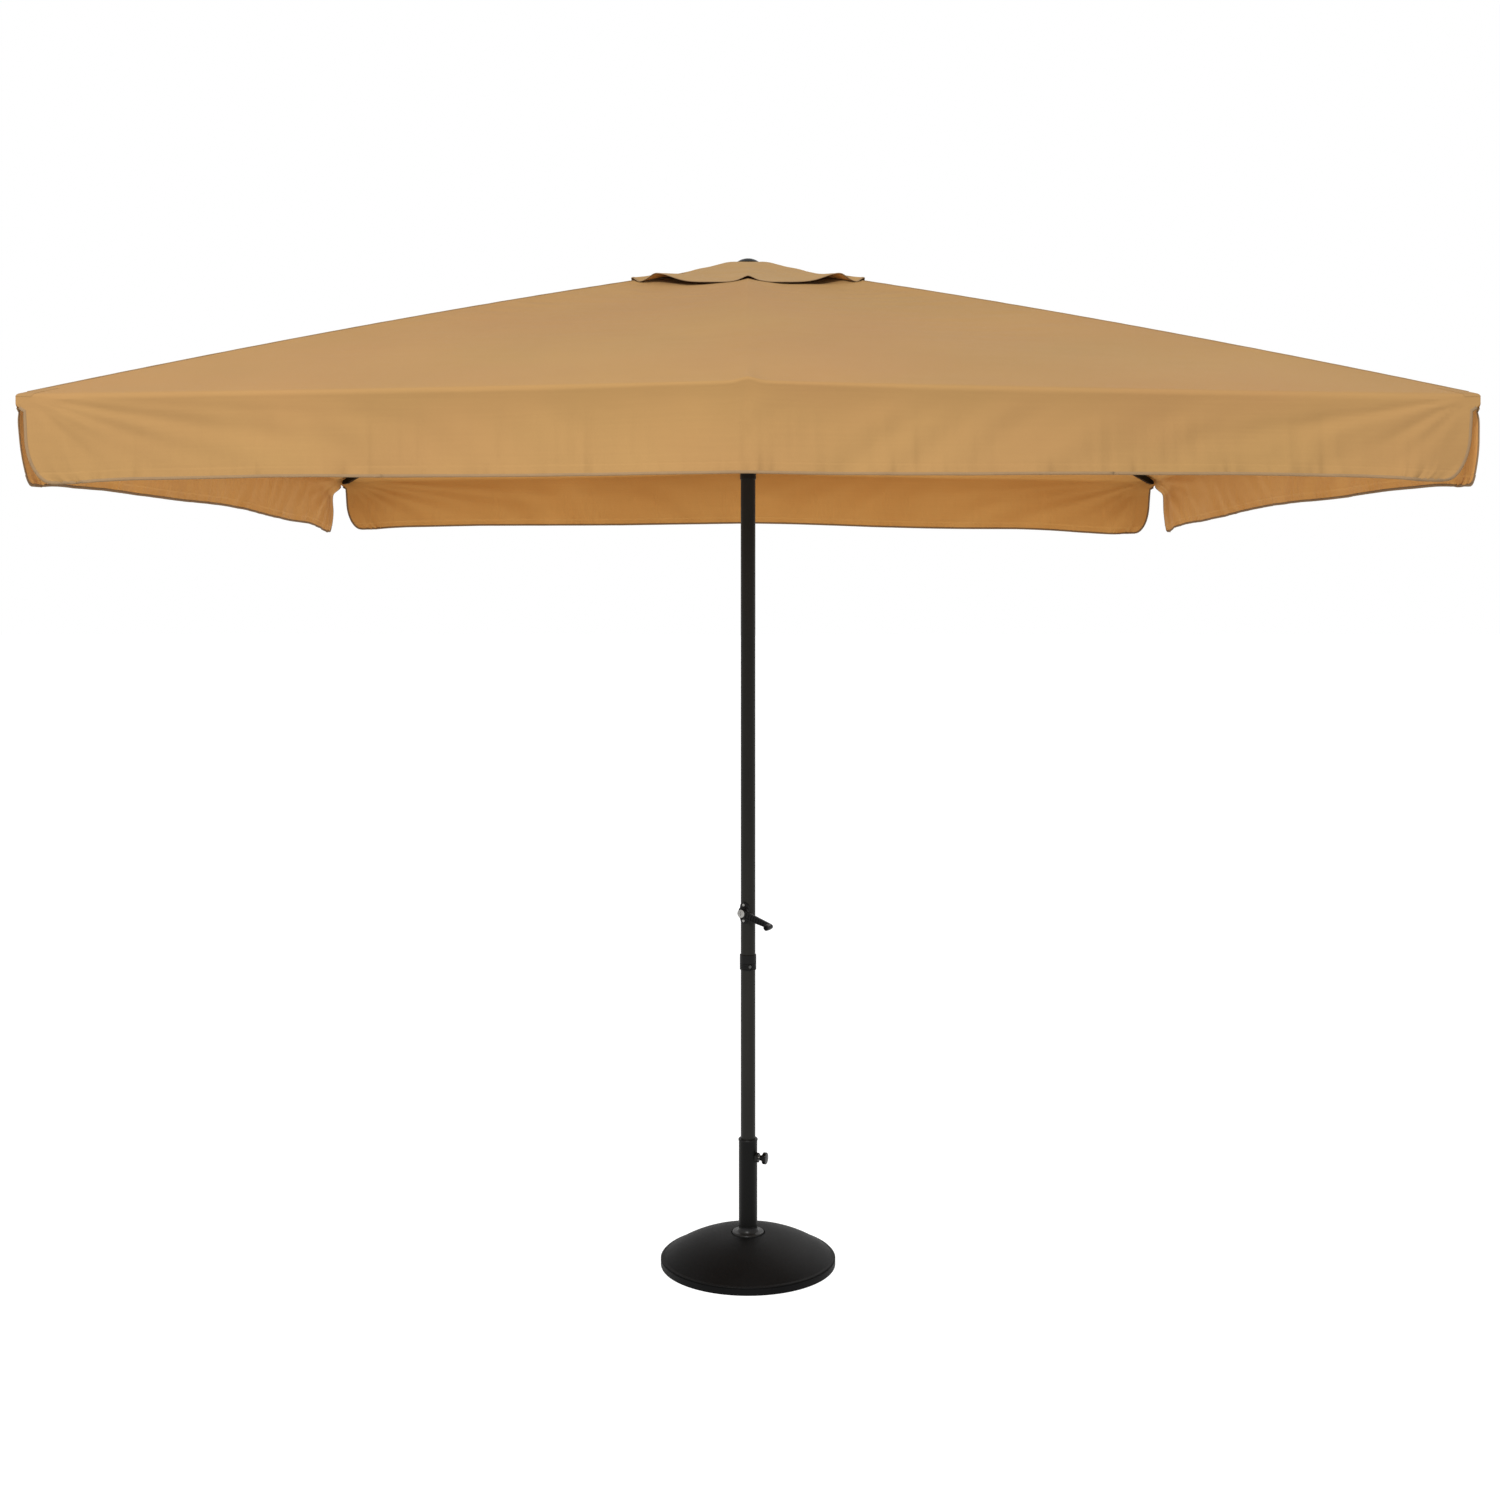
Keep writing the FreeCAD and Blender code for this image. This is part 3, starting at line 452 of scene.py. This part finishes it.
# ---- materials ----
class Nodes:
    """A material's node tree, with short ways to add what these materials share."""

    def __init__(self, name, base, roughness, metallic=0.0):
        self.material = bpy.data.materials.new(name)
        self.material.use_nodes = True
        self.tree = self.material.node_tree
        self.shader = self.tree.nodes["Principled BSDF"]
        self.shader.inputs["Base Color"].default_value = (*base, 1)
        self.shader.inputs["Roughness"].default_value = roughness
        self.shader.inputs["Metallic"].default_value = metallic
        self.base = base

    def add(self, kind, **values):
        node = self.tree.nodes.new(kind)
        for key, value in values.items():
            if key in node.inputs:
                node.inputs[key].default_value = value
            else:
                setattr(node, key, value)
        return node

    def link(self, out, into):
        self.tree.links.new(out, into)

    def coordinates(self, kind="Object", scale=(1, 1, 1)):
        source = self.add("ShaderNodeTexCoord")
        mapping = self.add("ShaderNodeMapping")
        mapping.inputs["Scale"].default_value = scale
        self.link(source.outputs[kind], mapping.inputs["Vector"])
        return mapping.outputs["Vector"]

    def noise(self, vector, scale, detail=3.0, roughness=0.5):
        node = self.add("ShaderNodeTexNoise", Scale=scale, Detail=detail, Roughness=roughness)
        self.link(vector, node.inputs["Vector"])
        return node.outputs["Fac"]

    def ramp(self, value, low, high, at=(0.35, 0.65)):
        """Colour ramp between two colours."""
        node = self.add("ShaderNodeValToRGB")
        node.color_ramp.elements[0].position, node.color_ramp.elements[1].position = at
        node.color_ramp.elements[0].color = (*low, 1)
        node.color_ramp.elements[1].color = (*high, 1)
        self.link(value, node.inputs["Fac"])
        return node.outputs["Color"]

    def tint(self, value, spread):
        """Colour variation by a share of the base colour."""
        low = [c * (1 - spread) for c in self.base]
        high = [min(1, c * (1 + spread)) for c in self.base]
        return self.ramp(value, low, high)

    def mix(self, factor, first, second, blend="MIX"):
        node = self.add("ShaderNodeMix", data_type="RGBA", blend_type=blend)
        for socket, value in (("Factor", factor), (6, first), (7, second)):
            target = node.inputs[socket]
            if isinstance(value, (int, float)):
                target.default_value = value
            elif isinstance(value, tuple):
                target.default_value = (*value, 1)
            else:
                self.link(value, target)
        return node.outputs[2]

    def math(self, operation, first, second=0.0):
        node = self.add("ShaderNodeMath", operation=operation)
        for i, value in enumerate((first, second)):
            if isinstance(value, (int, float)):
                node.inputs[i].default_value = value
            else:
                self.link(value, node.inputs[i])
        return node.outputs[0]

    def rough_range(self, value, low, high):
        node = self.add("ShaderNodeMapRange")
        node.inputs["To Min"].default_value = low
        node.inputs["To Max"].default_value = high
        self.link(value, node.inputs["Value"])
        self.link(node.outputs["Result"], self.shader.inputs["Roughness"])

    def bump(self, height, distance, strength=1.0):
        node = self.add("ShaderNodeBump", Strength=strength, Distance=distance)
        self.link(height, node.inputs["Height"])
        self.link(node.outputs["Normal"], self.shader.inputs["Normal"])


def canvas(name, base, other, sheen):
    """Woven polyester canvas: plain weave, slubs, soft blotches towards a second tone, faint sheen."""
    m = Nodes(name, base, 0.85)
    weave_uv = m.coordinates("UV")
    threads = []
    for direction in ("X", "Y"):
        wave = m.add("ShaderNodeTexWave", wave_type="BANDS", bands_direction=direction, Scale=330.0)
        wave.inputs["Distortion"].default_value = 1.2
        wave.inputs["Detail"].default_value = 1.0
        m.link(weave_uv, wave.inputs["Vector"])
        threads.append(wave.outputs["Fac"])
    weave = m.math("MULTIPLY", threads[0], threads[1])
    slub = m.noise(m.coordinates("UV", (5, 210, 1)), 1.0, 4.0, 0.6)
    blotch = m.noise(m.coordinates("Object"), 2.1, 3.0, 0.55)
    tone = m.noise(m.coordinates("Object", (1.3, 1.3, 2.6)), 1.7, 2.0, 0.5)
    soft = m.tint(m.mix(0.35, blotch, slub), 0.06)
    tinted = m.mix(m.math("MULTIPLY", tone, 0.75), soft, other)
    shade = m.ramp(weave, (0.9, 0.9, 0.9), (1, 1, 1), (0.0, 0.5))
    m.link(m.mix(1.0, tinted, shade, "MULTIPLY"), m.shader.inputs["Base Color"])
    m.shader.inputs["Sheen Weight"].default_value = sheen
    m.shader.inputs["Sheen Roughness"].default_value = 0.45
    m.shader.inputs["Specular IOR Level"].default_value = 0.1
    m.bump(m.math("ADD", weave, m.math("MULTIPLY", slub, 1.1)), 0.0003, 0.6)
    return m.material


def powder_coat(name, base, roughness, grain):
    """Painted steel with a fine orange-peel and slightly paler rubbed patches."""
    m = Nodes(name, base, roughness)
    m.shader.inputs["Specular IOR Level"].default_value = 0.12
    where = m.coordinates("Object")
    rubbed = m.noise(m.coordinates("Object", (1, 1, 0.25)), 14.0, 5.0, 0.6)
    m.link(m.tint(rubbed, 0.16), m.shader.inputs["Base Color"])
    m.rough_range(rubbed, roughness - 0.06, roughness + 0.08)
    m.bump(m.noise(where, grain, 2.0), 0.00008, 0.5)
    return m.material


def moulded(name, base, roughness, grain=900.0, depth=0.00012):
    """Moulded plastic with a spark-eroded grain."""
    m = Nodes(name, base, roughness)
    m.shader.inputs["Specular IOR Level"].default_value = 0.12
    where = m.coordinates("Object")
    cloud = m.noise(where, 22.0, 4.0)
    m.link(m.tint(cloud, 0.14), m.shader.inputs["Base Color"])
    m.rough_range(cloud, roughness - 0.05, roughness + 0.07)
    m.bump(m.noise(where, grain, 2.0, 0.6), depth, 0.6)
    return m.material


def steel(name, base, roughness):
    """Bright zinc-plated steel with fine turning marks."""
    m = Nodes(name, base, roughness, 1.0)
    marks = m.noise(m.coordinates("Object", (300, 300, 300)), 4.0, 3.0)
    m.rough_range(marks, roughness - 0.08, roughness + 0.14)
    m.bump(marks, 0.00004, 0.4)
    return m.material


def cast_stone(name, base):
    m = Nodes(name, base, 0.9)
    where = m.coordinates("Object")
    speck = m.noise(where, 260.0, 4.0, 0.7)
    m.link(m.tint(speck, 0.3), m.shader.inputs["Base Color"])
    m.bump(speck, 0.0006, 0.6)
    return m.material


def braid(name, base):
    """Braided cord, from the tube's own coordinates."""
    m = Nodes(name, base, 0.8)
    strands = m.add("ShaderNodeTexWave", wave_type="BANDS", bands_direction="DIAGONAL", Scale=1.0)
    strands.inputs["Distortion"].default_value = 0.4
    m.link(m.coordinates("UV", (190, 1.6, 1)), strands.inputs["Vector"])
    m.link(m.tint(strands.outputs["Fac"], 0.5), m.shader.inputs["Base Color"])
    m.bump(strands.outputs["Fac"], 0.0004, 0.8)
    return m.material


def foot_black(name):
    """The foot's cover: black, with a fine pebbled grain and paler scuffs."""
    m = Nodes(name, (0.0018, 0.0018, 0.0019), 0.55)
    m.shader.inputs["Specular IOR Level"].default_value = 0.07
    where = m.coordinates("Object")
    pebbles = m.add("ShaderNodeTexVoronoi", Scale=620.0)
    m.link(where, pebbles.inputs["Vector"])
    cloud = m.noise(where, 9.0, 5.0, 0.6)
    m.link(m.tint(cloud, 0.25), m.shader.inputs["Base Color"])
    m.rough_range(cloud, 0.5, 0.62)
    grain = m.math("ADD", pebbles.outputs["Distance"], m.noise(where, 240.0, 3.0))
    m.bump(grain, 0.0004, 0.5)
    return m.material


OUTSIDE = canvas("canvas_outside", (0.250, 0.150, 0.0520), (0.264, 0.136, 0.0545), 0.02)
# paler and warmer inside, for the light that comes through the cloth
INSIDE = canvas("canvas_inside", (0.59, 0.315, 0.094), (0.52, 0.250, 0.064), 0.03)
# the flap's canvas is a little paler than the canopy's: a painted highlight for the light falling on the
# flap
FLAP = canvas("canvas_flap_painted_highlight", (0.258, 0.160, 0.0640), (0.256, 0.148, 0.060), 0.03)
POCKET = canvas("canvas_pocket", (0.235, 0.139, 0.050), (0.235, 0.128, 0.053), 0.03)
TAPE = canvas("binding_tape", (0.205, 0.132, 0.066), (0.19, 0.118, 0.062), 0.04)
FINISH_FOR_SLOT = {
    "base_black": foot_black("foot_black"),
    "ballast": cast_stone("concrete", (0.30, 0.29, 0.27)),
    "rubber": moulded("rubber", (0.006, 0.006, 0.006), 0.8),
    "pole_paint": powder_coat("pole_paint", (0.0100, 0.0097, 0.0082), 0.4, 1100.0),
    "frame_paint": powder_coat("frame_paint", (0.007, 0.0068, 0.0064), 0.42, 1100.0),
    "black_plastic": moulded("black_plastic", (0.0042, 0.0042, 0.0042), 0.4),
    "knob_gloss": moulded("knob_gloss", (0.0012, 0.0012, 0.0012), 0.2, 300.0, 0.00003),
    "bright_steel": steel("bright_steel", (0.30, 0.295, 0.28), 0.3),
    "cord": braid("cord_braid", (0.025, 0.025, 0.025)),
}
FINISH_FOR_NODE = {
    "base_tube": powder_coat("socket_paint", (0.0012, 0.0012, 0.0009), 0.4, 900.0),
    "snap_button": steel("button_steel", (0.08, 0.08, 0.077), 0.4),
    "tube_foot_collar": moulded("collar_plastic", (0.010, 0.010, 0.010), 0.3),
}


def dress_cad_nodes():
    """Give every CAD node its slot's finished material."""
    for row in frame["record"]["subparts"]:
        name, slot = row["node"], row["material_slot"]
        if slot in FINISH_FOR_SLOT:
            material = FINISH_FOR_NODE.get(name, FINISH_FOR_SLOT[slot])
            for holder in bpy.data.objects[name].material_slots:
                holder.material = material


# ---- wings ----
SIDES = [Valance(side) for side in range(4)]
MIDDLE_A = np.linspace(-0.5, 0.5, 127)
corner_run = np.linspace(0, 1, 64)
CORNER_A = 0.5 + 0.5 * (corner_run * 0.9 + 0.1 * (1 - (1 - corner_run) ** 2))


def rib_tangent(number):
    """Level direction across a rib."""
    azimuth = math.radians(45 * number)
    return (-math.sin(azimuth), math.cos(azimuth), 0.0)


def soft_piece(obj, number, materials):
    """Materials and riding for a piece of cloth or trim on one rib."""
    for material in materials:
        obj.data.materials.append(material)
    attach(obj, f"rib_{number + 1}")
    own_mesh(obj)
    return obj


def cloth_piece(obj, number, outside, patches):
    """A wing, with its outside and inside canvas, riding its rib; its cloth area is worked out but not
    used.
    """
    soft_piece(obj, number, [outside, INSIDE])
    area = sum(patch.area() for patch in patches)


def wing_patches(number, side_points, run):
    """The patches of one rib's wing, with the canopy's or the flap's side function."""
    quarter = number // 2
    if number % 2 == 0:
        return [Patch(side_points, quarter, MIDDLE_A, run)]
    return [Patch(side_points, quarter, CORNER_A, run),
            Patch(side_points, (quarter + 1) % 4, -CORNER_A[::-1], run)]


def canopy_side(quarter, a):
    return side_grid(SIDES[quarter], a)


def flap_side(quarter, a):
    return flap_grid(a, 30)


def run_down(side_points):
    """Distance down the cloth of each row, half way between two ribs."""
    line = side_points(0, np.array([0.5]))[:, 0]
    return np.concatenate([[0], np.cumsum(np.linalg.norm(np.diff(line, axis=0), axis=1))])


def binding(name, number, patches, ends):
    """Tape folded over the cloth's lower edge, and up each free end of a valance."""
    made = []
    for index, patch in enumerate(patches):
        grid = patch.points
        path, across = [grid[-1]], [grid[-1] - grid[-2]]
        if ends:
            rows = slice(len(grid) - len(DROP_ROWS) + 3, len(grid) - 1)
            column, beside = (-1, -2) if index == 0 else (0, 1)
            up, lean = grid[rows, column][::-1], (grid[rows, column] - grid[rows, beside])[::-1]
            if index == 0:
                path, across = path + [up], across + [lean]
            else:
                path, across = [up[::-1]] + path, [lean[::-1]] + across
        tape = tube_mesh(f"{name}_{index + 1}", np.concatenate(path), BINDING_W, BINDING_T,
                         np.concatenate(across))
        made.append(soft_piece(tape, number, [TAPE]))
    return made


def ridge_piping(number, patches):
    """Piping down the ridge over a corner rib."""
    rows = slice(2, len(TOP_ROWS) - 1)
    path = patches[0].points[rows, -1] + PIPING_LIFT * patches[0].normals[rows, -1]
    across = np.tile(rib_tangent(number), (len(path), 1))
    piping = tube_mesh(f"ridge_piping_{number + 1}", path, PIPING_W, PIPING_T, across)
    return soft_piece(piping, number, [TAPE])


def corner_patch(number, patches):
    """Doubled cloth sewn over a corner rib's tip."""
    rows = slice(len(TOP_ROWS) - 4, len(TOP_ROWS) + 7)
    columns = slice(-4, None), slice(0, 4)
    parts = [patch.part(rows, c, CORNER_PATCH_T) for patch, c in zip(patches, columns)]
    obj = sheet_mesh(f"corner_patch_{number + 1}", parts, CORNER_PATCH_T)
    return soft_piece(obj, number, [POCKET, POCKET])


def make_canopy():
    run = run_down(canopy_side)
    for number in range(8):
        patches = wing_patches(number, canopy_side, run)
        trims = binding(f"hem_binding_{number + 1}", number, patches, ends=bool(number % 2))
        if number % 2:
            trims += [ridge_piping(number, patches), corner_patch(number, patches)]
        wing = sheet_mesh(f"canopy_wing_{number + 1}", patches, CLOTH_T)
        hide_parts(f"canopy_sector_{number + 1}")
        cloth_piece(wing, number, OUTSIDE, patches)


def make_flap():
    run = run_down(flap_side)
    for number in range(8):
        patches = wing_patches(number, flap_side, run)
        trims = binding(f"flap_binding_{number + 1}", number, patches, ends=False)
        wing = sheet_mesh(f"vent_flap_{number + 1}", patches, CLOTH_T)
        cloth_piece(wing, number, FLAP, patches)


# ---- lift cord ----
CORD_R = 0.00125
SHEAVE_R = 0.0125  # the pulley's axis to the cord's centre line
COIL_R, COIL_HALF, COILS, COIL_STEPS = 0.0108, 0.0085, 6, 24
CRANK_AZIMUTH = math.radians(-120)
FOOT_SUNK = 0.011  # how far the cord's end is sunk in the runner
UP = np.array([0, 0, 1])


def cord_piece(name, path, sideways):
    obj = tube_mesh(name, path, CORD_R, CORD_R, np.tile(sideways, (len(path), 1)))
    obj.data.materials.append(FINISH_FOR_SLOT["cord"])
    return obj


def make_cord():
    """The cord inside the pole and over the pulley, and the fall to the runner."""
    drum_low, drum_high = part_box("crank_drum")
    sheave_low, sheave_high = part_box("pulley")
    centre = (np.array(sheave_low) + np.array(sheave_high)) / 2
    away = np.array([centre[0], centre[1], 0]) / math.hypot(centre[0], centre[1])
    drum = np.array([0, 0, (drum_low[2] + drum_high[2]) / 2])
    axis = np.array([math.cos(CRANK_AZIMUTH), math.sin(CRANK_AZIMUTH), 0])
    level = np.array([-axis[1], axis[0], 0])
    path = []
    for i in range(COILS * COIL_STEPS):
        angle = -2 * math.pi * i / COIL_STEPS
        spread = (i / (COILS * COIL_STEPS) - 0.5) * 2 * COIL_HALF
        offset = COIL_R * (math.cos(angle) * level + math.sin(angle) * UP)
        path.append(drum + offset + axis * spread)
    start, inner = path[-1], centre - away * SHEAVE_R
    for share in np.linspace(0.02, 1, 40):
        path.append(start + (inner - start) * share)
    for angle in np.linspace(math.pi, 0, 25)[1:]:
        path.append(centre + SHEAVE_R * (math.cos(angle) * away + math.sin(angle) * UP))
    sideways = np.cross(away, UP)
    inside = cord_piece("lift_cord_inside", np.array(path), sideways)
    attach(inside, "upper_mast")
    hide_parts("lift_cord")

    top, foot = path[-1], path[-1].copy()
    foot[2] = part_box("runner")[1][2] - FOOT_SUNK
    fall_path = np.array([top + (foot - top) * share for share in np.linspace(0, 1, 90)])
    fall = cord_piece("lift_cord_fall", fall_path, sideways)
    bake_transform(fall)


# ---- stage, light and camera ----
FLOOR_HALF, FLOOR_Z = 60.0, -0.0005
CAMERA_AWAY, CAMERA_Z = 3.5 * HALF, 1.747


def make_stage():
    corners = [(x * FLOOR_HALF, y * FLOOR_HALF, 0) for x, y in ((-1, -1), (1, -1), (1, 1), (-1, 1))]
    floor = mesh_object("floor", corners, [(0, 1, 2, 3)])
    floor.location.z = FLOOR_Z
    m = Nodes("floor_pale", (0.1, 0.1, 0.1), 0.95)
    m.shader.inputs["Specular IOR Level"].default_value = 0.0
    m.shader.inputs["Emission Color"].default_value = (1, 1, 1, 1)
    m.shader.inputs["Emission Strength"].default_value = 1.1
    floor.data.materials.append(m.material)
    world = bpy.data.worlds.new("studio")
    bpy.context.scene.world = world
    world.use_nodes = True
    background = world.node_tree.nodes["Background"]
    background.inputs["Color"].default_value = (1, 1, 1, 1)
    background.inputs["Strength"].default_value = 1.0


def soft_light(name, place, target, size, power):
    data = bpy.data.lights.new(name, "AREA")
    data.shape, data.size, data.energy = "DISK", size, power
    light = bpy.data.objects.new(name, data)
    light.location = place
    bpy.context.scene.collection.objects.link(light)
    way = Vector(target) - Vector(place)
    light.rotation_euler = way.to_track_quat("-Z", "Y").to_euler()


def make_camera():
    """At the height of a standing person's chest, level, square on to the front."""
    camera = bpy.data.cameras.new("camera")
    camera.sensor_width, camera.lens = 36.0, 43.94
    camera.shift_x, camera.shift_y = 0.0013, -0.1093
    camera.dof.use_dof = False
    obj = bpy.data.objects.new("camera", camera)
    obj.location = (0, -CAMERA_AWAY, CAMERA_Z)
    obj.rotation_euler = (math.radians(90), 0, 0)
    bpy.context.scene.collection.objects.link(obj)
    bpy.context.scene.camera = obj


make_canopy()
make_flap()
make_cord()
dress_cad_nodes()
make_stage()
soft_light("key", (-1.5, -6.5, 6.0), (0, 0, 2.2), 2.5, 700)
soft_light("back", (3.5, 6.0, 5.0), (0, 0, 2.2), 3.0, 120)
make_camera()
bpy.context.scene.view_settings.view_transform = "Standard"
